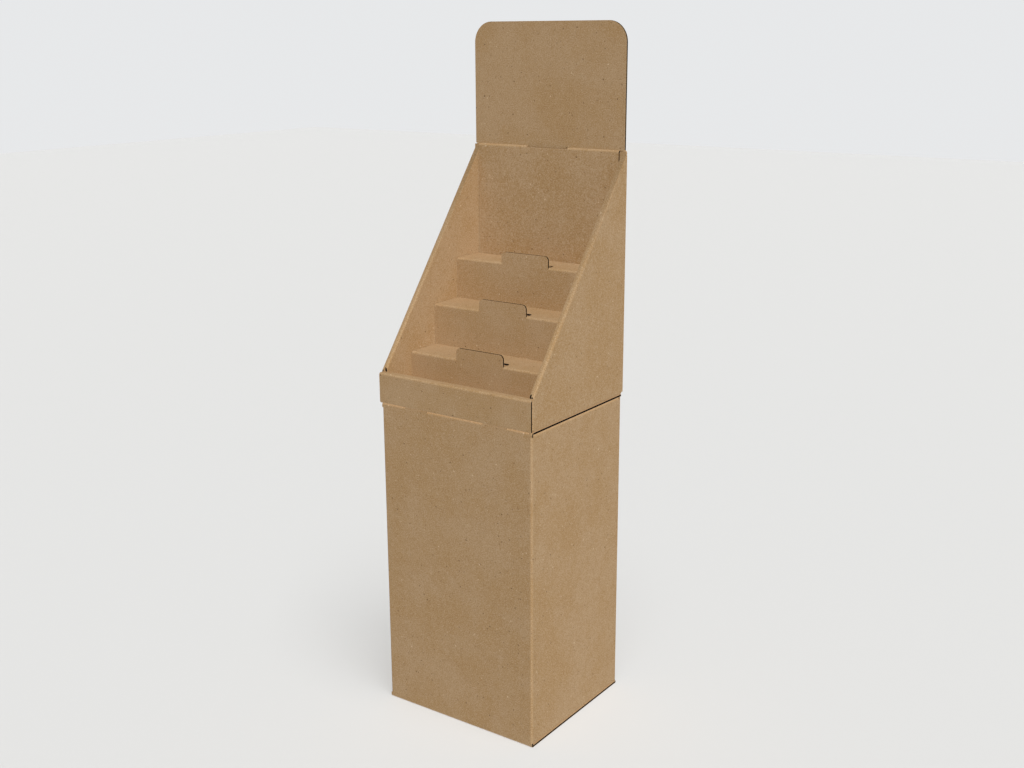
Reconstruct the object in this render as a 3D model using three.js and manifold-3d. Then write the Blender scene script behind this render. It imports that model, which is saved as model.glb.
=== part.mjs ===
// Tiered display stand in corrugated board, in millimetres, +Z up, front towards -Y.
// A folded plinth carries a folded tray with sloping sides. A folded stair with three tiers stands
// in the tray on slotted ribs, and a header card stands in a slot in the tray's back wall.
// Heights are measured from the floor and depths from the plinth's front face. The whole stand is
// then moved so that its origin lies on the floor under the middle of the tray.
import * as THREE from 'three';
import { mergeVertices } from 'three/addons/utils/BufferGeometryUtils.js';
import Module from 'manifold-3d';

// Board
const board = 5;
const bendInside = 0.3;
const layerGap = 0.4;
const seatGap = 0.3;
const arcSteps = 6;

// Plinth
const plinthWidth = 400;
const plinthDepth = 355.5;
const plinthHeight = 719;
const dustFlapLength = 150;
const glueFlapLength = 36;
const glueOverlap = 0.2;

// Locking tabs left standing on the plinth's front panel
const lockTabWidth = 60;
const lockTabCentre = 105;
const lockTabRise = 46;
const lockTabCorner = 8;
const kerf = 0.4;
const lockSlotClearance = 0.8;

// Tray
const trayOverhang = 1.4;
const lipHeight = 69.1;
const backHeight = 540.4;
const backOverhang = 9.3;
const frontPanelInset = 0.4;
const frontWallSpace = 5.4;
const rollGap = 2.4;
const rollStart = 8;
const rollLeg = 2;
const rollCorner = 4.5;
const cornerFlapLength = 50;
const innerFlapLength = 44;
const innerPanelGap = 3;
const backFlapDrop = 2.2;
const foldMargin = 0.05;

// Tiers
const tierCount = 3;
const tierDepth = 85.8;
const tierRise = 93.7;
const stairSideGap = 1;
const tierTabWidth = 125;
const tierTabRise = 25;
const tierTabCorner = 10;

// Ribs under the stair
const ribCentre = 95;
const ribClearance = 0.4;
const crossRibTier = 2;

// Header card
const headerWidth = 396;
const headerHeight = 268.4;
const headerCorner = 45;
const tongueWidth = 108;
const tongueDepth = 58;
const tongueClearance = 1.5;
const slotTrim = 3.2;

// Places that follow from the sizes above
const bendOutside = bendInside + board;
const bendMiddle = bendInside + board / 2;
const plinthSide = plinthWidth / 2;
const traySide = plinthSide + trayOverhang;
const trayFloorBottom = plinthHeight + seatGap;
const trayFloorTop = trayFloorBottom + board;
const innerBottom = trayFloorTop + seatGap;
const lipTop = trayFloorBottom + lipHeight;
const backTop = trayFloorBottom + backHeight;
const frontPanelBack = -layerGap;
const frontPanelFront = frontPanelBack - board;
const frontPanelSide = traySide - frontPanelInset;
const outerFlapFront = 0;
const innerFlapFront = outerFlapFront + board + layerGap;
const lipInnerFront = innerFlapFront + frontWallSpace;
const lipInnerBack = lipInnerFront + board;
const backOuterBack = plinthDepth + backOverhang;
const backOuterFront = backOuterBack - board;
const backMiddleBack = backOuterFront - layerGap;
const backMiddleFront = backMiddleBack - board;
const backInnerBack = backMiddleFront - seatGap;
const backInnerFront = backInnerBack - board;
const sideOuterInside = traySide - board;
const sideInnerOutside = sideOuterInside - rollGap;
const sideInnerInside = sideInnerOutside - board;
const rollOutside = board + rollGap / 2;
const rollInside = rollGap / 2;
const innerPanelSide = sideInnerInside - innerPanelGap;
const slope = new THREE.Vector2(backMiddleBack, backTop - lipTop).normalize();
const slopeAt = (y) => lipTop + (y * slope.y) / slope.x;
const rollDrop = rollOutside / slope.x;

const wasm = await Module();
wasm.setup();

function solidFrom(geometry) {
  const plain = geometry.clone();
  plain.deleteAttribute('normal');
  plain.deleteAttribute('uv');
  const merged = mergeVertices(plain, 1e-5);
  const mesh = new wasm.Mesh({
    numProp: 3,
    vertProperties: new Float32Array(merged.attributes.position.array),
    triVerts: new Uint32Array(merged.index.array),
  });
  return new wasm.Manifold(mesh);
}

function geometryFrom(solid) {
  const mesh = solid.getMesh();
  const geometry = new THREE.BufferGeometry();
  geometry.setAttribute('position', new THREE.BufferAttribute(new Float32Array(mesh.vertProperties), 3));
  geometry.setIndex(new THREE.BufferAttribute(new Uint32Array(mesh.triVerts), 1));
  geometry.computeVertexNormals();
  return geometry;
}

const join = (solids) => solids.reduce((whole, solid) => whole.add(solid));
const cut = (solid, tools) => tools.reduce((left, tool) => left.subtract(tool), solid);

// An outline pulled straight along one axis. The outline's own axes are Y and Z when it is pulled
// along X, X and Z when it is pulled along Y, and X and Y when it is pulled along Z.
const axesX = new THREE.Matrix4().makeBasis(
  new THREE.Vector3(0, 1, 0), new THREE.Vector3(0, 0, 1), new THREE.Vector3(1, 0, 0));
const axesY = new THREE.Matrix4().makeBasis(
  new THREE.Vector3(1, 0, 0), new THREE.Vector3(0, 0, 1), new THREE.Vector3(0, -1, 0));

function pulled(outline, length) {
  return new THREE.ExtrudeGeometry(outline, { depth: length, bevelEnabled: false, curveSegments: arcSteps });
}

function alongX(outline, from, to) {
  return solidFrom(pulled(outline, to - from).applyMatrix4(axesX).translate(from, 0, 0));
}

function alongY(outline, from, to) {
  return solidFrom(pulled(outline, to - from).applyMatrix4(axesY).translate(0, to, 0));
}

function alongZ(outline, from, to) {
  return solidFrom(pulled(outline, to - from).translate(0, 0, from));
}

function block(x0, x1, y0, y1, z0, z1) {
  const box = new THREE.BoxGeometry(x1 - x0, y1 - y0, z1 - z0);
  return solidFrom(box.translate((x0 + x1) / 2, (y0 + y1) / 2, (z0 + z1) / 2));
}

// The same block on both sides of the stand
const blockPair = (x0, x1, ...rest) => [block(x0, x1, ...rest), block(-x1, -x0, ...rest)];

const polygon = (...points) => new THREE.Shape(points.map(([x, y]) => new THREE.Vector2(x, y)));

// A board seen edge on: a line through the board's middle with a rounded fold at each inner corner
function foldedBoard(...corners) {
  const line = corners.map(([x, y]) => new THREE.Vector2(x, y));
  const half = board / 2;
  const steps = [];
  for (let i = 0; i < line.length - 1; i += 1) {
    steps.push(line[i + 1].clone().sub(line[i]).normalize());
  }
  const offset = (point, step, side) => new THREE.Vector2(point.x - step.y * side, point.y + step.x * side);
  const shape = new THREE.Shape();
  const first = offset(line[0], steps[0], half);
  shape.moveTo(first.x, first.y);
  const addSide = (side, order) => {
    order.forEach((i) => {
      const before = steps[i - 1];
      const after = steps[i];
      const turn = Math.atan2(before.cross(after), before.dot(after));
      const reach = bendMiddle * Math.tan(Math.abs(turn) / 2);
      const left = Math.sign(turn);
      const start = line[i].clone().addScaledVector(before, -reach);
      const centre = offset(start, before, bendMiddle * left);
      const radius = bendMiddle - left * side;
      const startAngle = Math.atan2(before.y, before.x) - (left * Math.PI) / 2;
      const endAngle = startAngle + turn;
      const forward = side > 0;
      const from = forward ? startAngle : endAngle;
      const to = forward ? endAngle : startAngle;
      shape.lineTo(centre.x + radius * Math.cos(from), centre.y + radius * Math.sin(from));
      shape.absarc(centre.x, centre.y, radius, from, to, to < from);
    });
  };
  const inner = steps.map((_, i) => i).slice(1);
  addSide(half, inner);
  const last = line.length - 1;
  for (const side of [half, -half]) {
    const end = offset(line[last], steps[last - 1], side);
    shape.lineTo(end.x, end.y);
  }
  addSide(-half, inner.reverse());
  const close = offset(line[0], steps[0], -half);
  shape.lineTo(close.x, close.y);
  return shape;
}

// A panel with its two far corners rounded, drawn in its own plane
function roundedPanel(x0, x1, y0, y1, radius) {
  const shape = new THREE.Shape();
  shape.moveTo(x0, y0);
  shape.lineTo(x1, y0);
  shape.lineTo(x1, y1 - radius);
  shape.absarc(x1 - radius, y1 - radius, radius, 0, Math.PI / 2, false);
  shape.lineTo(x0 + radius, y1);
  shape.absarc(x0 + radius, y1 - radius, radius, Math.PI / 2, Math.PI, false);
  return shape;
}

// Plinth: one sheet wrapped round four corners and glued, with side flaps inside the top and the
// bottom and a full flap over them that hinges on the front panel.
function plinth() {
  const middle = board / 2;
  const side = plinthSide - middle;
  const back = plinthDepth - middle;
  const glueY = plinthDepth - board - middle + glueOverlap;
  const panelBottom = board + layerGap;
  const panelTop = plinthHeight - board - layerGap;
  const wrap = foldedBoard([-plinthSide, back], [side, back], [side, middle], [-side, middle],
    [-side, glueY]);
  const glueFlap = foldedBoard([-side, back / 2], [-side, glueY], [glueFlapLength - plinthSide, glueY]);
  const tube = join([alongZ(wrap, panelBottom, panelTop), alongZ(glueFlap, panelBottom, panelTop)]);

  const flapStart = bendOutside + layerGap;
  const flapEnd = plinthDepth - 2 * board - layerGap;
  const foldReach = bendOutside + layerGap;
  const sideRelief = [
    ...blockPair(plinthSide - board - 1, plinthSide + 1, bendOutside, plinthDepth - board - bendInside,
      panelTop - foldReach, panelTop + 1),
    ...blockPair(plinthSide - board - 1, plinthSide + 1, bendOutside, plinthDepth - board - bendInside,
      panelBottom - 1, panelBottom + foldReach),
  ];
  const flapTip = plinthSide - dustFlapLength;
  const dustFlaps = [];
  for (const hand of [1, -1]) {
    for (const [flapZ, wallZ] of [
      [panelTop - middle, panelTop - 2 * foldReach],
      [panelBottom + middle, panelBottom + 2 * foldReach],
    ]) {
      const fold = foldedBoard([hand * side, wallZ], [hand * side, flapZ], [hand * flapTip, flapZ]);
      dustFlaps.push(alongY(fold, flapStart, flapEnd));
    }
  }

  const coverEdge = plinthSide;
  const hinge = bendOutside + board;
  const topCover = foldedBoard([middle, plinthHeight - hinge], [middle, plinthHeight - middle],
    [plinthDepth, plinthHeight - middle]);
  const bottomCover = foldedBoard([middle, hinge], [middle, middle], [plinthDepth, middle]);
  const covers = [alongX(topCover, -coverEdge, coverEdge), alongX(bottomCover, -coverEdge, coverEdge)];
  const whole = join([cut(tube, sideRelief), ...dustFlaps, ...covers]);

  const tabLow = plinthHeight - bendOutside;
  const tabHalf = lockTabWidth / 2;
  const tabs = [];
  const windows = [];
  for (const hand of [1, -1]) {
    const centre = hand * lockTabCentre;
    const tab = roundedPanel(centre - tabHalf, centre + tabHalf, tabLow, plinthHeight + lockTabRise,
      lockTabCorner);
    tabs.push(alongY(tab, 0, board));
    windows.push(block(centre - tabHalf - kerf, centre + tabHalf + kerf, -1,
      board + lockTabRise, tabLow, plinthHeight + 1));
  }
  return join([cut(whole, windows), ...tabs]);
}

// Tray: one sheet in the shape of a cross. Its floor carries the front wall, which rolls over a deep
// lip, the two sides, which roll over along the slope, and the back wall, which rolls over at the top.
function traySide3d(hand) {
  const outer = polygon(
    [bendOutside, trayFloorTop + bendInside],
    [backMiddleBack, trayFloorTop + bendInside],
    [backMiddleBack, slopeAt(backMiddleBack) - rollDrop],
    [bendOutside, slopeAt(bendOutside) - rollDrop]);
  const innerFront = innerFlapFront + bendOutside;
  const innerBack = backMiddleFront - bendInside;
  const underLip = lipTop - board - layerGap;
  const overLip = lipTop + seatGap;
  const behindLip = lipInnerBack + layerGap;
  const innerTip = ((seatGap + rollDrop) * slope.x) / slope.y;
  const inner = polygon(
    [innerFront, innerBottom],
    [innerBack, innerBottom],
    [innerBack, slopeAt(innerBack) - rollDrop],
    [innerTip, overLip],
    [behindLip, overLip],
    [behindLip, underLip],
    [innerFront, underLip]);
  const layers = [
    alongX(outer, sideOuterInside, traySide),
    alongX(inner, sideInnerInside, sideInnerOutside),
  ];

  const roll = new THREE.Shape();
  const cornerCentre = rollOutside - rollCorner;
  roll.moveTo(rollOutside, -rollLeg);
  roll.absarc(cornerCentre, cornerCentre, rollCorner, 0, Math.PI / 2, false);
  roll.absarc(-cornerCentre, cornerCentre, rollCorner, Math.PI / 2, Math.PI, false);
  roll.lineTo(-rollOutside, -rollLeg);
  roll.lineTo(-rollInside, -rollLeg);
  roll.absarc(0, 0, rollInside, Math.PI, 0, true);
  roll.lineTo(rollInside, -rollLeg);
  const start = new THREE.Vector3(0, 0, lipTop - rollDrop);
  const along = new THREE.Vector3(0, slope.x, slope.y);
  const across = new THREE.Vector3(1, 0, 0);
  const rollLength = (backOuterBack - start.y) / slope.x;
  const outward = new THREE.Vector3(0, -slope.y, slope.x);
  const place = new THREE.Matrix4().makeBasis(across, outward, along.clone().negate());
  const rollCentre = traySide - rollOutside;
  const rollEnd = start.clone().addScaledVector(along, rollLength);
  const pulledRoll = pulled(roll, rollLength).applyMatrix4(place).translate(rollCentre, rollEnd.y, rollEnd.z);
  const wide = traySide + 1;
  const high = backTop + headerHeight;
  const edge = cut(solidFrom(pulledRoll), [
    block(0, wide, frontPanelFront - 1, bendOutside, 0, high),
    block(0, rollCentre, frontPanelFront - 1, rollStart, 0, high),
    block(0, wide, backMiddleBack, backOuterBack + rollDrop, 0, high),
  ]);
  const whole = join([...layers, edge]);
  return hand > 0 ? whole : whole.mirror([1, 0, 0]);
}

function trayFlaps() {
  const outerMiddle = traySide - board / 2;
  const innerMiddle = sideInnerInside + board / 2;
  const outerLayer = outerFlapFront + board / 2;
  const innerLayer = innerFlapFront + board / 2;
  const backLayer = backMiddleFront + board / 2;
  const underLip = lipTop - board - layerGap;
  const underRoll = backTop - board - layerGap;
  const frontFold = 2 * bendOutside;
  const solids = [];
  for (const hand of [1, -1]) {
    const outerFold = foldedBoard([hand * outerMiddle, frontFold], [hand * outerMiddle, outerLayer],
      [hand * (traySide - bendOutside - 1), outerLayer]);
    const outerFlap = foldedBoard([hand * outerMiddle, frontFold], [hand * outerMiddle, outerLayer],
      [hand * (traySide - cornerFlapLength), outerLayer]);
    solids.push(alongZ(outerFold, innerBottom, lipTop));
    solids.push(alongZ(outerFlap, innerBottom, underLip));
    const innerFlap = foldedBoard([hand * innerMiddle, innerFlapFront + frontFold],
      [hand * innerMiddle, innerLayer], [hand * (sideInnerInside - innerFlapLength), innerLayer]);
    solids.push(alongZ(innerFlap, innerBottom, underLip));
  }
  const aboveSlope = alongX(polygon(
    [frontPanelFront, slopeAt(frontPanelFront) - rollDrop],
    [backMiddleFront, slopeAt(backMiddleFront) - rollDrop],
    [backMiddleFront, backTop + headerHeight],
    [frontPanelFront, backTop + headerHeight]), -2 * traySide, 2 * traySide);
  const underLedge = blockPair(0, innerPanelSide + layerGap, 0, backOuterBack, underRoll, backTop);
  const rearFlaps = [1, -1].map((hand) => {
    const fold = foldedBoard([hand * outerMiddle, backMiddleFront - frontFold],
      [hand * outerMiddle, backLayer], [hand * (innerPanelSide - cornerFlapLength), backLayer]);
    return cut(alongZ(fold, innerBottom, backTop - backFlapDrop), [aboveSlope, ...underLedge]);
  });
  return join([...solids, ...rearFlaps]);
}

function trayFloorAndFront() {
  const floorMiddle = trayFloorBottom + board / 2;
  const lipMiddle = lipTop - board / 2;
  const outerMiddle = frontPanelFront + board / 2;
  const innerMiddle = lipInnerFront + board / 2;
  const sideMiddle = traySide - board / 2;
  const foldTop = trayFloorTop + bendOutside;
  const floorBack = backMiddleFront - bendInside;

  const frontWall = foldedBoard([innerMiddle, innerBottom], [innerMiddle, lipMiddle],
    [outerMiddle, lipMiddle], [outerMiddle, floorMiddle], [bendOutside, floorMiddle]);
  const wallWidth = sideInnerInside - 1;
  const ledgeWidth = sideOuterInside - layerGap;
  const lipOnly = block(-ledgeWidth, ledgeWidth, frontPanelFront - 1, lipInnerBack + 1,
    lipTop - bendOutside - 1, lipTop + 1);
  const faceOnly = block(-frontPanelSide, frontPanelSide, frontPanelFront - 1, frontPanelBack + bendInside,
    trayFloorBottom - 1, lipTop + 1);
  const fullWall = alongX(frontWall, -frontPanelSide, frontPanelSide);
  const underLedge = blockPair(wallWidth, ledgeWidth + 1, lipInnerFront - bendInside, lipInnerBack + 1,
    0, lipTop - board);
  const lip = cut(fullWall.intersect(lipOnly), underLedge);
  const front = join([alongX(frontWall, -wallWidth, wallWidth), lip, fullWall.intersect(faceOnly)]);

  const floor = foldedBoard([-sideMiddle, foldTop], [-sideMiddle, floorMiddle], [sideMiddle, floorMiddle],
    [sideMiddle, foldTop]);
  const floorSheet = join([
    alongY(floor, bendOutside, floorBack),
    block(wallWidth - 1, sideMiddle - bendMiddle, frontPanelBack + bendInside, bendOutside + 1,
      trayFloorBottom, trayFloorTop),
    block(bendMiddle - sideMiddle, 1 - wallWidth, frontPanelBack + bendInside, bendOutside + 1,
      trayFloorBottom, trayFloorTop),
  ]);

  const slotHalf = lockTabWidth / 2 + lockSlotClearance;
  const slots = [1, -1].map((hand) => block(hand * lockTabCentre - slotHalf, hand * lockTabCentre + slotHalf,
    frontPanelBack + bendInside / 2, outerFlapFront + board + layerGap, trayFloorBottom - 1, innerBottom));
  return cut(join([front, floorSheet]), slots);
}

function trayBack() {
  const outerMiddle = backOuterFront + board / 2;
  const innerMiddle = backInnerFront + board / 2;
  const topMiddle = backTop - board / 2;
  const floorMiddle = trayFloorBottom + board / 2;
  const floorStart = backMiddleFront - 2 * bendOutside;
  const outerSide = traySide - bendOutside - seatGap;
  const roll = foldedBoard([floorStart, floorMiddle], [outerMiddle, floorMiddle], [outerMiddle, topMiddle],
    [innerMiddle, topMiddle], [innerMiddle, innerBottom]);
  const foldEnd = outerMiddle - bendMiddle - foldMargin;
  const outer = foldedBoard([floorStart, floorMiddle], [outerMiddle, floorMiddle],
    [outerMiddle, topMiddle], [foldEnd, topMiddle]);
  const slotHalf = tongueWidth / 2 + tongueClearance;
  const slot = block(-slotHalf, slotHalf, backMiddleFront - layerGap, backOuterFront,
    backTop - 2 * bendOutside, backTop + 1);
  const trim = block(-slotHalf, slotHalf, backInnerFront - 1, backMiddleFront, backTop - slotTrim,
    backTop + 1);
  const rolled = cut(alongX(roll, -innerPanelSide, innerPanelSide), [slot, trim]);
  return join([alongX(outer, -outerSide, outerSide), rolled]);
}

function tray() {
  return join([trayFloorAndFront(), trayFlaps(), traySide3d(1), traySide3d(-1), trayBack()]);
}

// Stair: one sheet folded into risers and treads, with a rear leg down to the tray's floor. Each
// riser has a tab that is cut out of the tread behind it and stays upright.
const stairBack = backInnerFront - seatGap;
const stairFront = stairBack - tierCount * tierDepth;
const stairSide = sideInnerInside - stairSideGap;
const riserFront = (tier) => stairFront + (tier - 1) * tierDepth;
const stairBottom = trayFloorTop + seatGap;
const treadTop = (tier) => stairBottom + tier * tierRise;

function tierInsert() {
  const middle = board / 2;
  const line = [[riserFront(1) + middle, stairBottom]];
  for (let tier = 1; tier <= tierCount; tier += 1) {
    line.push([riserFront(tier) + middle, treadTop(tier) - middle]);
    line.push([riserFront(tier + 1) + (tier < tierCount ? middle : -middle), treadTop(tier) - middle]);
  }
  line.push([stairBack - middle, stairBottom]);
  let stair = alongX(foldedBoard(...line), -stairSide, stairSide);
  const half = tierTabWidth / 2;
  for (let tier = 1; tier <= tierCount; tier += 1) {
    const front = riserFront(tier);
    const foldStart = treadTop(tier) - bendOutside;
    const windowEnd = front + board + tierTabRise;
    const opening = roundedPanel(-half - kerf, half + kerf, front - 1, windowEnd, tierTabCorner);
    const tab = roundedPanel(-half, half, foldStart, treadTop(tier) + tierTabRise, tierTabCorner);
    stair = stair.subtract(alongZ(opening, foldStart, treadTop(tier) + 1));
    stair = stair.add(alongY(tab, front, front + board));
  }
  return stair;
}

// Ribs: two long ribs with a stepped top and one cross rib, slotted half and half into each other
const ribUnder = (tier) => treadTop(tier) - board - ribClearance;
const ribBack = stairBack - board - ribClearance;
const ribFoot = trayFloorTop + seatGap;
const riserBack = (tier) => riserFront(tier) + board + ribClearance;
const crossMiddle = (riserBack(crossRibTier) + riserFront(crossRibTier + 1)) / 2;
const ribLap = (ribFoot + ribUnder(crossRibTier)) / 2;
const lapGap = layerGap / 2;

function longRib(hand) {
  const outline = [[ribBack, ribFoot], [riserBack(1), ribFoot]];
  for (let tier = 1; tier <= tierCount; tier += 1) {
    outline.push([riserBack(tier), ribUnder(tier)]);
    outline.push([tier < tierCount ? riserBack(tier + 1) : ribBack, ribUnder(tier)]);
  }
  const centre = hand * ribCentre;
  const rib = alongX(polygon(...outline), centre - board / 2, centre + board / 2);
  const slot = block(centre - board, centre + board, crossMiddle - board / 2 - layerGap,
    crossMiddle + board / 2 + layerGap, ribLap - lapGap, ribUnder(tierCount) + 1);
  return rib.subtract(slot);
}

function crossRib() {
  const side = stairSide;
  const plate = block(-side, side, crossMiddle - board / 2, crossMiddle + board / 2,
    ribFoot, ribUnder(crossRibTier));
  const slots = [1, -1].map((hand) => block(hand * ribCentre - board / 2 - layerGap,
    hand * ribCentre + board / 2 + layerGap, crossMiddle - board, crossMiddle + board,
    ribFoot - 1, ribLap + lapGap));
  return cut(plate, slots);
}

// Header card: a flat card with round upper corners and a tongue that drops into the back wall
function headerCard() {
  const side = headerWidth / 2;
  const half = tongueWidth / 2;
  const foot = backTop + seatGap;
  const card = roundedPanel(-side, side, foot, foot + headerHeight, headerCorner);
  const tongueFoot = foot - tongueDepth;
  const tongue = polygon([-half, tongueFoot], [half, tongueFoot], [half, foot + 1], [-half, foot + 1]);
  const front = backMiddleFront;
  return join([alongY(card, front, front + board), alongY(tongue, front, front + board)]);
}

// Kraft board: an even brown, a little darker where it is seen from the front
function kraft(colour) {
  return new THREE.MeshStandardMaterial({ color: colour, roughness: 0.9, metalness: 0 });
}

const stand = new THREE.Group();
const foldedPieces = new THREE.Group();
foldedPieces.position.y = -(frontPanelFront + backOuterBack) / 2;
stand.add(foldedPieces);

function addPiece(name, solid, colour) {
  const mesh = new THREE.Mesh(geometryFrom(solid), kraft(colour));
  mesh.name = name;
  foldedPieces.add(mesh);
}

addPiece('plinth_box', plinth(), '#ab8c67');
addPiece('display_tray', tray(), '#ab8c67');
addPiece('tier_insert', tierInsert(), '#a4866a');
addPiece('tier_rib_left', longRib(-1), '#a4865f');
addPiece('tier_rib_right', longRib(1), '#a4865f');
addPiece('tier_cross_rib', crossRib(), '#a4865f');
addPiece('header_card', headerCard(), '#9f815f');

export default stand;
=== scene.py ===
# Tiered display stand in kraft corrugated board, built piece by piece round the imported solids.
import bpy
import bmesh
import math
from mathutils import Matrix, Vector
from mathutils.bvhtree import BVHTree
from mathutils.geometry import area_tri, tessellate_polygon


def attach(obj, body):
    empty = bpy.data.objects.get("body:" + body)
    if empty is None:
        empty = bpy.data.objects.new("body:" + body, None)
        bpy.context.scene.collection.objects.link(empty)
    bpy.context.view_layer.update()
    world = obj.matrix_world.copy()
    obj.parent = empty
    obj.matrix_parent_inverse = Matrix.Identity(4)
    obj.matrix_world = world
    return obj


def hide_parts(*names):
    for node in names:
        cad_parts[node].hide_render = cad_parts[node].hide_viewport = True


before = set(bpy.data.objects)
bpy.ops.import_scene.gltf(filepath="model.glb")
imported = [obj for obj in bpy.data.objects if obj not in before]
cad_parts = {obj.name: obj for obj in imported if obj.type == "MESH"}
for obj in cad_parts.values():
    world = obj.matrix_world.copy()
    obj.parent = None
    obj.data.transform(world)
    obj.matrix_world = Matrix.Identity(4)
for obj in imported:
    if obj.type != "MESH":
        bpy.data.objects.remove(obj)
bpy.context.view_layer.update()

# The camera stands in front of the stand and to its right, a little below the header card's top.
eye = Vector((1.584577, -2.205036, 1.497175))
yaw, pitch, roll = math.radians(35.291), math.radians(15.359), math.radians(-0.249)
forward = Vector((-math.sin(yaw) * math.cos(pitch), math.cos(yaw) * math.cos(pitch), -math.sin(pitch)))
level = Vector((math.cos(yaw), math.sin(yaw), 0))
upright = level.cross(forward)
right = math.cos(roll) * level + math.sin(roll) * upright
above = math.cos(roll) * upright - math.sin(roll) * level
camera = bpy.data.objects.new("camera", bpy.data.cameras.new("camera"))
bpy.context.scene.collection.objects.link(camera)
camera.matrix_world = Matrix((
    (right.x, above.x, -forward.x, eye.x),
    (right.y, above.y, -forward.y, eye.y),
    (right.z, above.z, -forward.z, eye.z),
    (0, 0, 0, 1),
))
camera.data.sensor_width = 36
camera.data.lens = 44.557
bpy.context.scene.camera = camera

# Plinth: one sheet of kraft corrugated board wrapped round four rounded corners and glued inside,
# with full flaps at the top and the bottom. Every sheet of the stand is the same board: two kraft
# liners with a wavy medium between them. Wherever the board is cut, the hollow between the liners
# carries painted shade, near black, and the medium in it is darkened partly by painted shade.
board = 0.005
liner = 0.0006
merge_distance = 0.00012
shortest_medium = 0.03
channel_depth = 0.009
flute_pitch = 0.0079
flute_steps = 8
medium_thickness = 0.0003
medium_inset = 0.0016
medium_swing = 0.44
paper = (0.403, 0.266, 0.141, 1)
paper_warm = (0.371, 0.231, 0.105, 1)
paper_dark = (0.305, 0.178, 0.074, 1)
paper_light = (0.475, 0.340, 0.207, 1)
fleck_dark = (0.140, 0.080, 0.036, 1)
fleck_pale = (0.620, 0.470, 0.310, 1)
# Painted shade: the hollow in every cut edge is coloured near black for the shade deep between the liners,
# with a little dust-like mottle in it.
core_painted_shade = (0.012, 0.010, 0.009, 1)
dust_in_painted_shade = (0.030, 0.022, 0.016, 1)
# The medium's colour is much darker than the liners: partly its own brown, partly painted shade for its
# depth inside the cut.
medium_brown_and_painted_shade = (0.090, 0.058, 0.032, 1)
cloud_scale = 9
patch_scale = 70
grain_scale = 430
fibre_scale = 650
fibre_stretch = 0.16
fleck_scale = 100
fleck_bend_scale = 500
fleck_bend = 0.0028
dark_fleck_above = 0.72
pale_fleck_below = 0.10
grain_strength = 0.85
bump_strength = 0.35
bump_height = 0.00006
grain_bump_share = 0.45
weld_angle = math.radians(0.8)
sharp_angle = math.radians(38)


def add_node(tree, kind, place, **settings):
    node = tree.nodes.new(kind)
    node.location = place
    for key, value in settings.items():
        if key.startswith("in_"):
            node.inputs[key[3:].replace("_", " ")].default_value = value
        else:
            setattr(node, key, value)
    return node


def maths(tree, operation, place, first, second=None):
    node = add_node(tree, "ShaderNodeMath", place, operation=operation)
    for socket, value in zip(node.inputs, (first, second)):
        if value is None:
            continue
        if isinstance(value, bpy.types.NodeSocket):
            tree.links.new(value, socket)
        else:
            socket.default_value = value
    return node.outputs[0]


def spread(tree, place, value, low, high, to_low, to_high):
    node = add_node(tree, "ShaderNodeMapRange", place)
    tree.links.new(value, node.inputs["Value"])
    for name, number in (("From Min", low), ("From Max", high), ("To Min", to_low), ("To Max", to_high)):
        node.inputs[name].default_value = number
    return node.outputs["Result"]


def tint(tree, place, amount, under, over):
    node = add_node(tree, "ShaderNodeMix", place, data_type="RGBA")
    for socket, value in ((node.inputs[0], amount), (node.inputs[6], under), (node.inputs[7], over)):
        if isinstance(value, bpy.types.NodeSocket):
            tree.links.new(value, socket)
        else:
            socket.default_value = value
    return node.outputs[2]


def noise(tree, place, vector, scale, detail, roughness=0.5):
    node = add_node(tree, "ShaderNodeTexNoise", place, in_Scale=scale, in_Detail=detail,
                    in_Roughness=roughness)
    tree.links.new(vector, node.inputs["Vector"])
    return node.outputs["Fac"]


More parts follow.
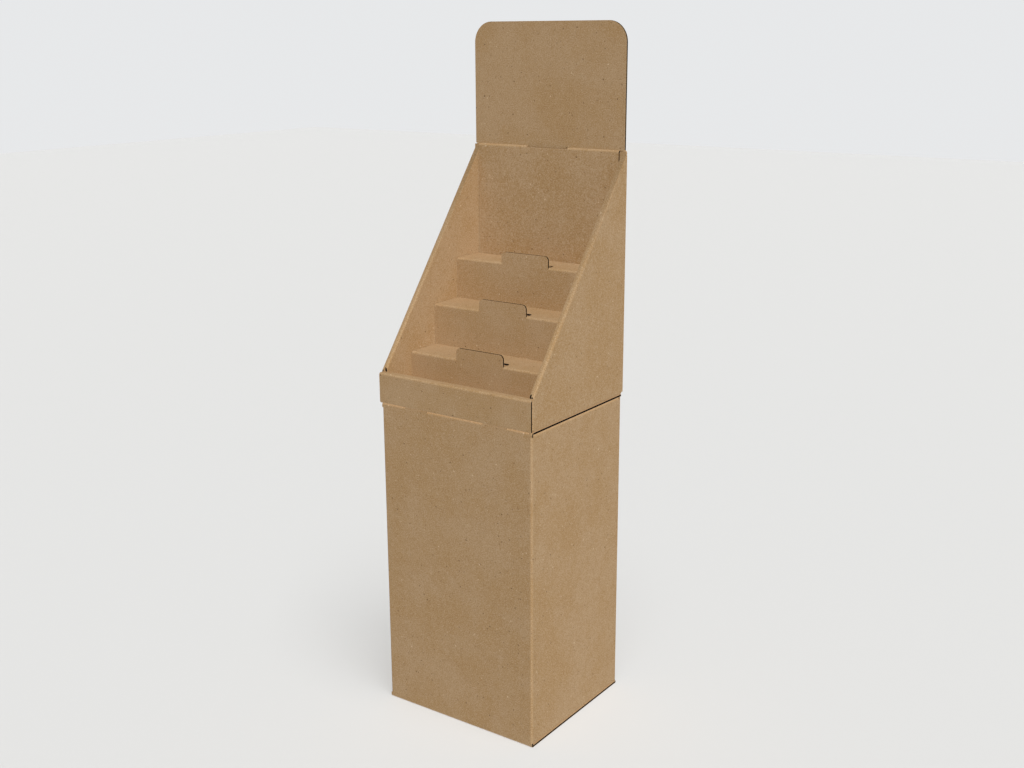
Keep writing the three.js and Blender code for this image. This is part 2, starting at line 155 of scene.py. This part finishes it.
def paper_group():
    group = bpy.data.node_groups.new("kraft_liner", "ShaderNodeTree")
    sockets = group.interface
    for name, kind in (("Position", "NodeSocketVector"), ("Paper", "NodeSocketColor"),
                       ("Warm", "NodeSocketColor"), ("Dark", "NodeSocketColor"),
                       ("Light", "NodeSocketColor"), ("Fleck", "NodeSocketColor"),
                       ("Mottle", "NodeSocketFloat")):
        sockets.new_socket(name=name, in_out="INPUT", socket_type=kind)
    for name, kind in (("Color", "NodeSocketColor"), ("Roughness", "NodeSocketFloat"),
                       ("Height", "NodeSocketFloat")):
        sockets.new_socket(name=name, in_out="OUTPUT", socket_type=kind)
    start = add_node(group, "NodeGroupInput", (-1400, 0))
    end = add_node(group, "NodeGroupOutput", (900, 0))
    position = start.outputs["Position"]
    clouds = noise(group, (-1100, 300), position, cloud_scale, 4, 0.6)
    patches = noise(group, (-1100, 0), position, patch_scale, 4, 0.6)
    grain = noise(group, (-1100, -300), position, grain_scale, 3, 0.65)
    stretch = add_node(group, "ShaderNodeVectorMath", (-1100, -600), operation="MULTIPLY")
    stretch.inputs[1].default_value = (1, 1, fibre_stretch)
    group.links.new(position, stretch.inputs[0])
    fibres = noise(group, (-900, -600), stretch.outputs[0], fibre_scale, 2, 0.6)
    darker = spread(group, (-700, 300), clouds, 0.40, 0.60, 0, 1)
    darker = maths(group, "MULTIPLY", (-500, 300), darker, start.outputs["Mottle"])
    colour = tint(group, (-300, 300), darker, start.outputs["Paper"], start.outputs["Warm"])
    lighter = spread(group, (-700, 100), patches, 0.50, 0.78, 0, 0.26)
    colour = tint(group, (-100, 200), lighter, colour, start.outputs["Light"])
    duller = spread(group, (-700, -100), patches, 0.50, 0.24, 0, 0.22)
    colour = tint(group, (60, 150), duller, colour, start.outputs["Dark"])
    light_grain = spread(group, (-700, -300), grain, 0.50, 0.66, 0, grain_strength)
    colour = tint(group, (220, 100), light_grain, colour, start.outputs["Light"])
    dark_grain = spread(group, (-700, -500), grain, 0.50, 0.33, 0, grain_strength)
    colour = tint(group, (380, 50), dark_grain, colour, start.outputs["Dark"])
    hairs = spread(group, (-700, -700), fibres, 0.63, 0.72, 0, 0.35)
    colour = tint(group, (540, 0), hairs, colour, start.outputs["Fleck"])
    swirl = add_node(group, "ShaderNodeTexNoise", (-1300, -1000), in_Scale=fleck_bend_scale, in_Detail=1)
    push = add_node(group, "ShaderNodeVectorMath", (-1150, -1000), operation="SCALE")
    bent = add_node(group, "ShaderNodeVectorMath", (-1000, -900), operation="ADD")
    cells = add_node(group, "ShaderNodeTexVoronoi", (-900, -900), in_Scale=fleck_scale)
    group.links.new(position, swirl.inputs["Vector"])
    group.links.new(swirl.outputs["Color"], push.inputs[0])
    push.inputs["Scale"].default_value = fleck_bend
    group.links.new(position, bent.inputs[0])
    group.links.new(push.outputs[0], bent.inputs[1])
    group.links.new(bent.outputs[0], cells.inputs["Vector"])
    near = spread(group, (-700, -900), cells.outputs["Distance"], 0.12, 0.20, 1, 0)
    lot = add_node(group, "ShaderNodeTexWhiteNoise", (-850, -1100))
    group.links.new(cells.outputs["Color"], lot.inputs["Vector"])
    shade = add_node(group, "ShaderNodeSeparateColor", (-700, -1100))
    group.links.new(lot.outputs["Color"], shade.inputs[0])
    few = maths(group, "GREATER_THAN", (-500, -1100), shade.outputs[0], dark_fleck_above)
    strength = maths(group, "POWER", (-600, -1200), shade.outputs[1], 2)
    strength = spread(group, (-500, -1200), strength, 0, 1, 0.35, 1)
    near = maths(group, "MULTIPLY", (-400, -950), near, strength)
    speck = maths(group, "MULTIPLY", (-300, -1000), near, few)
    colour = tint(group, (620, 0), speck, colour, start.outputs["Fleck"])
    fewer = maths(group, "LESS_THAN", (-500, -1300), shade.outputs[0], pale_fleck_below)
    pale = maths(group, "MULTIPLY", (-300, -1200), near, fewer)
    colour = tint(group, (740, 0), pale, colour, fleck_pale)
    group.links.new(colour, end.inputs["Color"])
    group.links.new(spread(group, (540, -300), grain, 0.2, 0.8, 0.82, 0.94), end.inputs["Roughness"])
    height = maths(group, "ADD", (540, -500), grain, fibres)
    group.links.new(height, end.inputs["Height"])
    return group


# The medium shows through the liners as faint ribs that run up the walls and over the treads.
def washboard_group():
    group = bpy.data.node_groups.new("washboard", "ShaderNodeTree")
    sockets = group.interface
    sockets.new_socket(name="Position", in_out="INPUT", socket_type="NodeSocketVector")
    sockets.new_socket(name="Facing", in_out="INPUT", socket_type="NodeSocketVector")
    sockets.new_socket(name="Pitch", in_out="INPUT", socket_type="NodeSocketFloat")
    sockets.new_socket(name="Height", in_out="OUTPUT", socket_type="NodeSocketFloat")
    start = add_node(group, "NodeGroupInput", (-900, 0))
    end = add_node(group, "NodeGroupOutput", (500, 0))
    place = add_node(group, "ShaderNodeSeparateXYZ", (-700, 100))
    facing = add_node(group, "ShaderNodeSeparateXYZ", (-700, -100))
    group.links.new(start.outputs["Position"], place.inputs[0])
    group.links.new(start.outputs["Facing"], facing.inputs[0])
    sideways = maths(group, "ABSOLUTE", (-500, -100), facing.outputs["X"])
    sideways = maths(group, "GREATER_THAN", (-350, -100), sideways, 0.5)
    choose = add_node(group, "ShaderNodeMix", (-150, 0), data_type="FLOAT")
    group.links.new(sideways, choose.inputs[0])
    group.links.new(place.outputs["X"], choose.inputs[2])
    group.links.new(place.outputs["Y"], choose.inputs[3])
    turns = maths(group, "DIVIDE", (50, 0), choose.outputs[0], start.outputs["Pitch"])
    turns = maths(group, "MULTIPLY", (200, 0), turns, 2 * math.pi)
    group.links.new(maths(group, "SINE", (350, 0), turns), end.inputs["Height"])
    return group


kraft_liner = paper_group()
washboard = washboard_group()


def board_material(name, mottle, shift):
    material = bpy.data.materials.new(name)
    material.use_nodes = True
    tree = material.node_tree
    shader = tree.nodes["Principled BSDF"]
    shader.inputs["Specular IOR Level"].default_value = 0.25
    coordinates = add_node(tree, "ShaderNodeTexCoord", (-1300, 0))
    moved = add_node(tree, "ShaderNodeMapping", (-1100, 0), in_Location=shift)
    tree.links.new(coordinates.outputs["Object"], moved.inputs["Vector"])
    liner_look = add_node(tree, "ShaderNodeGroup", (-800, 100), node_tree=kraft_liner)
    tree.links.new(moved.outputs[0], liner_look.inputs["Position"])
    for key, value in (("Paper", paper), ("Warm", paper_warm), ("Dark", paper_dark),
                       ("Light", paper_light), ("Fleck", fleck_dark), ("Mottle", mottle)):
        liner_look.inputs[key].default_value = value
    ribs = add_node(tree, "ShaderNodeGroup", (-800, -200), node_tree=washboard)
    tree.links.new(coordinates.outputs["Object"], ribs.inputs["Position"])
    tree.links.new(coordinates.outputs["Normal"], ribs.inputs["Facing"])
    ribs.inputs["Pitch"].default_value = flute_pitch
    height = maths(tree, "MULTIPLY", (-550, -100), liner_look.outputs["Height"], grain_bump_share)
    height = maths(tree, "ADD", (-400, -200), height, ribs.outputs["Height"])
    bump = add_node(tree, "ShaderNodeBump", (-250, -250), in_Strength=bump_strength, in_Distance=bump_height)
    tree.links.new(height, bump.inputs["Height"])
    tree.links.new(liner_look.outputs["Color"], shader.inputs["Base Color"])
    tree.links.new(liner_look.outputs["Roughness"], shader.inputs["Roughness"])
    tree.links.new(bump.outputs[0], shader.inputs["Normal"])
    return material


# Painted shade: a near-black colour for the hollow between the liners, a little lighter in dust-like
# patches, standing in for the shade deep in the flutes.
def painted_shade_hollow_material():
    material = bpy.data.materials.new("flute_hollow")
    material.use_nodes = True
    tree = material.node_tree
    shader = tree.nodes["Principled BSDF"]
    shader.inputs["Roughness"].default_value = 1
    shader.inputs["Specular IOR Level"].default_value = 0
    coordinates = add_node(tree, "ShaderNodeTexCoord", (-900, 0))
    dust = noise(tree, (-700, 0), coordinates.outputs["Object"], 300, 3)
    dim = spread(tree, (-500, 0), dust, 0.3, 0.8, 0, 0.35)
    tree.links.new(tint(tree, (-300, 0), dim, core_painted_shade, dust_in_painted_shade), shader.inputs["Base Color"])
    return material


# The medium is coloured a dark brown: partly its own colour, partly painted shade for its place deep in the
# cut.
def medium_material():
    material = bpy.data.materials.new("wavy_medium")
    material.use_nodes = True
    tree = material.node_tree
    shader = tree.nodes["Principled BSDF"]
    shader.inputs["Roughness"].default_value = 0.95
    shader.inputs["Specular IOR Level"].default_value = 0.1
    coordinates = add_node(tree, "ShaderNodeTexCoord", (-900, 0))
    fibres = noise(tree, (-700, 0), coordinates.outputs["Object"], 500, 3)
    tree.links.new(tint(tree, (-300, 0), fibres, medium_brown_and_painted_shade, paper_dark), shader.inputs["Base Color"])
    return material


plinth_board = board_material("plinth_board", 1.0, (0.31, 0.17, 0.05))
flute_hollow = painted_shade_hollow_material()
wavy_medium = medium_material()


def face_width(face):
    """The width of a long strip, and less for anything else that is narrow."""
    return 2 * face.calc_area() / sum(edge.calc_length() for edge in face.edges)


def is_cut_edge(face):
    """True for a face that shows the board's thickness: a long strip, or a facet of a round corner."""
    around = sum(edge.calc_length() for edge in face.edges)
    if 0.55 * board < face_width(face) < 1.01 * board and around > 5 * board:
        return True
    crossing = [edge for edge in face.edges if abs(edge.calc_length() - board) < 0.04 * board]
    if len(face.edges) != 4 or len(crossing) != 2:
        return False
    return not set(crossing[0].verts) & set(crossing[1].verts)


def edge_runs(faces):
    """Cut edges joined into runs that follow the round corners."""
    left = dict.fromkeys(faces)
    runs = []
    while left:
        run = [next(iter(left))]
        del left[run[0]]
        for face in run:
            for edge in face.edges:
                for other in edge.link_faces:
                    if other in left and abs(edge.calc_length() - board) < 0.04 * board \
                            and face.normal.dot(other.normal) > 0.7:
                        del left[other]
                        run.append(other)
        runs.append(run)
    return runs


def depth_behind(face, tree):
    """How far the board runs on behind a cut edge."""
    corners = [vert.co for vert in face.verts]
    parts = [[corners[i] for i in part] for part in tessellate_polygon([corners])]
    parts.sort(key=lambda part: -area_tri(*part))
    found = []
    for part in parts[:3]:
        middle = sum(part, Vector()) / 3
        hit = tree.ray_cast(middle - face.normal * 0.0001, -face.normal)
        found.append(hit[3] if hit[3] else 1)
    return min(found)


def outline(run):
    """The corners round a run of faces, each with the direction into the board there."""
    inside = set(run)
    loop = next(loop for face in run for loop in face.loops
                if not any(other in inside for other in loop.edge.link_faces if other is not face))
    start = loop
    corners = []
    while True:
        near = [face.normal for face in loop.vert.link_faces if face in inside]
        corners.append((loop.vert.co.copy(), -sum(near, Vector()).normalized()))
        loop = loop.link_loop_next
        while any(other in inside for other in loop.edge.link_faces if other is not loop.face):
            across = next(other for other in loop.edge.link_loops
                          if other is not loop and other.face in inside)
            loop = across.link_loop_next
        if loop is start:
            return corners


def is_end(corners, i):
    """True for a side that crosses the run: as long as the hollow is wide, square to both neighbours."""
    points = [corners[(i + step) % len(corners)][0] for step in (-1, 0, 1, 2)]
    before, side, after = (b - a for a, b in zip(points, points[1:]))
    if abs(side.length - (board - 2 * liner)) > 0.0005 or min(before.length, after.length) < 1e-9:
        return False
    return all(abs(side.normalized().dot(part.normalized())) < 0.3 for part in (before, after))


def run_sides(corners):
    """The two long sides of a run, each from the run's first end to its second."""
    ends = [i for i in range(len(corners)) if is_end(corners, i)]
    if len(ends) != 2:
        return None
    first, second = ends
    one = corners[first + 1:second + 1]
    other = [corners[i % len(corners)] for i in range(second + 1, first + len(corners) + 1)]
    return one, other[::-1]


def length_of(line):
    return sum((b[0] - a[0]).length for a, b in zip(line, line[1:]))


def along(line, distance):
    """The point and the direction inwards at that distance along a line."""
    for start, end in zip(line, line[1:]):
        step = (end[0] - start[0]).length
        if distance <= step and step:
            part = distance / step
            return start[0].lerp(end[0], part), start[1].lerp(end[1], part)
        distance -= step
    return line[-1]


def add_medium(bm, sides, depth):
    """A wavy sheet between the liners, from just inside the cut down to the hollow's bottom."""
    lengths = [length_of(side) for side in sides]
    count = max(1, round(max(lengths) / flute_pitch)) * flute_steps
    top = []
    inwards = []
    for i in range(count + 1):
        part = i / count
        swing = 0.5 + medium_swing * math.sin(2 * math.pi * i / flute_steps)
        one, other = (along(side, part * length) for side, length in zip(sides, lengths))
        inwards.append(one[1].lerp(other[1], 0.5).normalized())
        top.append(bm.verts.new(one[0].lerp(other[0], swing) + inwards[-1] * medium_inset))
    edges = [bm.edges.new(pair) for pair in zip(top, top[1:])]
    grown = bmesh.ops.extrude_edge_only(bm, edges=edges)
    low = [item for item in grown["geom"] if isinstance(item, bmesh.types.BMVert)]
    faces = [item for item in grown["geom"] if isinstance(item, bmesh.types.BMFace)]
    for vert in low:
        nearest = min(range(len(top)), key=lambda i: (top[i].co - vert.co).length_squared)
        vert.co += inwards[nearest] * (depth - 2 * medium_inset)
    bmesh.ops.solidify(bm, geom=faces, thickness=medium_thickness)


def folded_sheet(node, name, material):
    """A copy of the folded solid, its cut edges opened between the liners, filled with medium and given
    near-black painted shade in the hollow.
    """
    bm = bmesh.new()
    bm.from_mesh(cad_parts[node].data)
    bmesh.ops.remove_doubles(bm, verts=bm.verts, dist=merge_distance)
    bmesh.ops.dissolve_limit(bm, angle_limit=weld_angle, verts=bm.verts, edges=bm.edges,
                             use_dissolve_boundaries=False)
    for face in bm.faces:
        face.material_index = 0
    tree = BVHTree.FromBMesh(bm)
    waves = bmesh.new()
    for run in edge_runs([face for face in bm.faces if is_cut_edge(face)]):
        depth = min(channel_depth, min(depth_behind(face, tree) for face in run) - liner)
        if depth < 0.5 * channel_depth or max(face_width(face) for face in run) < 0.55 * board:
            continue
        short = sum(face.calc_area() for face in run) < shortest_medium * board
        corners = [vert.co for face in run for vert in face.verts]
        low = [min(corner[axis] for corner in corners) for axis in range(3)]
        high = [max(corner[axis] for corner in corners) for axis in range(3)]
        bmesh.ops.inset_region(bm, faces=run, thickness=liner, use_boundary=True, use_even_offset=True)
        for vert in {vert for face in run for vert in face.verts}:
            vert.co = [min(max(vert.co[axis], low[axis]), high[axis]) for axis in range(3)]
        sides = run_sides(outline(run))
        # Every cut face, even a short one left flat, gets the near-black painted shade of the hollow.
        for face in run:
            face.material_index = 1
        if short:
            continue
        if sides:
            add_medium(waves, sides, depth)
        walls = bmesh.ops.inset_region(bm, faces=run, thickness=0, depth=-depth, use_boundary=True,
                                       use_even_offset=True)
        # The hollow's walls carry the same near-black painted shade.
        for face in walls["faces"]:
            face.material_index = 1
    mesh = bpy.data.meshes.new(name)
    bm.to_mesh(mesh)
    bm.free()
    mesh.materials.append(material)
    mesh.materials.append(flute_hollow)
    mesh.shade_smooth()
    mesh.set_sharp_from_angle(angle=sharp_angle)
    piece = bpy.data.objects.new(name, mesh)
    bpy.context.scene.collection.objects.link(piece)
    flat = piece.modifiers.new("even_faces", "WEIGHTED_NORMAL")
    flat.keep_sharp = True
    flat.weight = 100
    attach(piece, "root")
    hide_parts(node)
    wave_mesh = bpy.data.meshes.new(name + "_medium")
    waves.to_mesh(wave_mesh)
    waves.free()
    wave_mesh.materials.append(wavy_medium)
    wave_mesh.shade_smooth()
    medium = bpy.data.objects.new(name + "_medium", wave_mesh)
    bpy.context.scene.collection.objects.link(medium)
    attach(medium, "root")


folded_sheet("plinth_box", "plinth_sheet", plinth_board)

# Display tray: one sheet in the shape of a cross, its front wall rolled over a deep lip, its sides
# rolled over along the slope and its back wall rolled over at the top.
tray_board = board_material("tray_board", 1.0, (0.0, 0.42, 0.3))
folded_sheet("display_tray", "tray_sheet", tray_board)

# Tier insert: one sheet folded into three risers and treads, with a tab standing on each riser.
tier_board = board_material("tier_board", 0.9, (0.7, 0.1, 0.9))
folded_sheet("tier_insert", "tier_sheet", tier_board)

# Ribs: three flat die-cut pieces slotted together under the treads, out of sight.
for node in ("tier_rib_left", "tier_rib_right", "tier_cross_rib"):
    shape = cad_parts[node].data
    shape.materials.clear()
    shape.materials.append(tier_board)

# Header card: one flat die-cut card with round upper corners, standing in the slot of the back wall.
header_board = board_material("header_board", 1.0, (0.2, 0.0, 0.55))
folded_sheet("header_card", "header_sheet", header_board)

# Floor: a plain pale studio floor that runs out of sight.
floor_reach = 14
floor_seen = (0.535, 0.535, 0.528, 1)
floor_bounce = (0.27, 0.27, 0.27, 1)
floor_mesh = bmesh.new()
bmesh.ops.create_grid(floor_mesh, x_segments=1, y_segments=1, size=floor_reach)
floor_data = bpy.data.meshes.new("floor")
floor_mesh.to_mesh(floor_data)
floor_mesh.free()
floor = bpy.data.objects.new("floor", floor_data)
bpy.context.scene.collection.objects.link(floor)
floor_paint = bpy.data.materials.new("floor_paint")
floor_paint.use_nodes = True
paint = floor_paint.node_tree
paint.nodes["Principled BSDF"].inputs["Roughness"].default_value = 0.9
ray_kinds = add_node(paint, "ShaderNodeLightPath", (-700, 0))
looked_at = maths(paint, "MAXIMUM", (-500, 0), ray_kinds.outputs["Is Camera Ray"],
                  ray_kinds.outputs["Is Glossy Ray"])
paint.links.new(tint(paint, (-300, 0), looked_at, floor_bounce, floor_seen),
                paint.nodes["Principled BSDF"].inputs["Base Color"])
floor_data.materials.append(floor_paint)

# Studio light: a pale surround, a large soft key lamp above, to the right and in front, and weak
# fill lamps from every side that cast no shadow, so that the tiers inside the tray are lit evenly.
# One more large soft lamp from above lights the floor alone and gives it the stand's soft shadow.
surround_light = 0.16
surround_seen = (0.80, 0.81, 0.82, 1)
key_strength = 0.84
fill_strength = 0.20
under_strength = 0.45
ground_strength = 0.50
world = bpy.data.worlds.new("surround")
bpy.context.scene.world = world
world.use_nodes = True
sky = world.node_tree
lit = sky.nodes["Background"]
lit.inputs["Color"].default_value = (1, 1, 1, 1)
lit.inputs["Strength"].default_value = surround_light
seen = add_node(sky, "ShaderNodeBackground", (0, -200))
seen.inputs["Color"].default_value = surround_seen
seen.inputs["Strength"].default_value = 1
rays = add_node(sky, "ShaderNodeLightPath", (-400, 300))
direct = maths(sky, "MAXIMUM", (-200, 300), rays.outputs["Is Camera Ray"], rays.outputs["Is Glossy Ray"])
choice = add_node(sky, "ShaderNodeMixShader", (200, 0))
sky.links.new(direct, choice.inputs[0])
sky.links.new(lit.outputs[0], choice.inputs[1])
sky.links.new(seen.outputs[0], choice.inputs[2])
sky.links.new(choice.outputs[0], sky.nodes["World Output"].inputs["Surface"])


def add_lamp(name, towards, strength, angle):
    lamp = bpy.data.objects.new(name, bpy.data.lights.new(name, "SUN"))
    bpy.context.scene.collection.objects.link(lamp)
    lamp.data.energy = strength * math.pi
    lamp.data.angle = math.radians(angle)
    lamp.data.use_shadow = False
    lamp.data.cycles.cast_shadow = False
    lamp.rotation_mode = "QUATERNION"
    lamp.rotation_quaternion = Vector(towards).to_track_quat("Z", "Y")
    return lamp


add_lamp("key_lamp", (0.583, -0.408, 0.702), key_strength, 20)
for name, towards in (("front", (0, -1, 0)), ("back", (0, 1, 0)), ("right", (1, 0, 0)),
                      ("left", (-1, 0, 0)), ("top", (0, 0, 1))):
    add_lamp("fill_" + name, towards, fill_strength, 10)
add_lamp("fill_under", (0, 0, -1), under_strength, 10)
ground = add_lamp("ground_lamp", (0.30, -0.20, 0.93), ground_strength, 35)
ground.data.use_shadow = True
ground.data.cycles.cast_shadow = True
ground.light_linking.receiver_collection = bpy.data.collections.new("ground")
ground.light_linking.receiver_collection.objects.link(floor)
bpy.context.scene.view_settings.view_transform = "Standard"
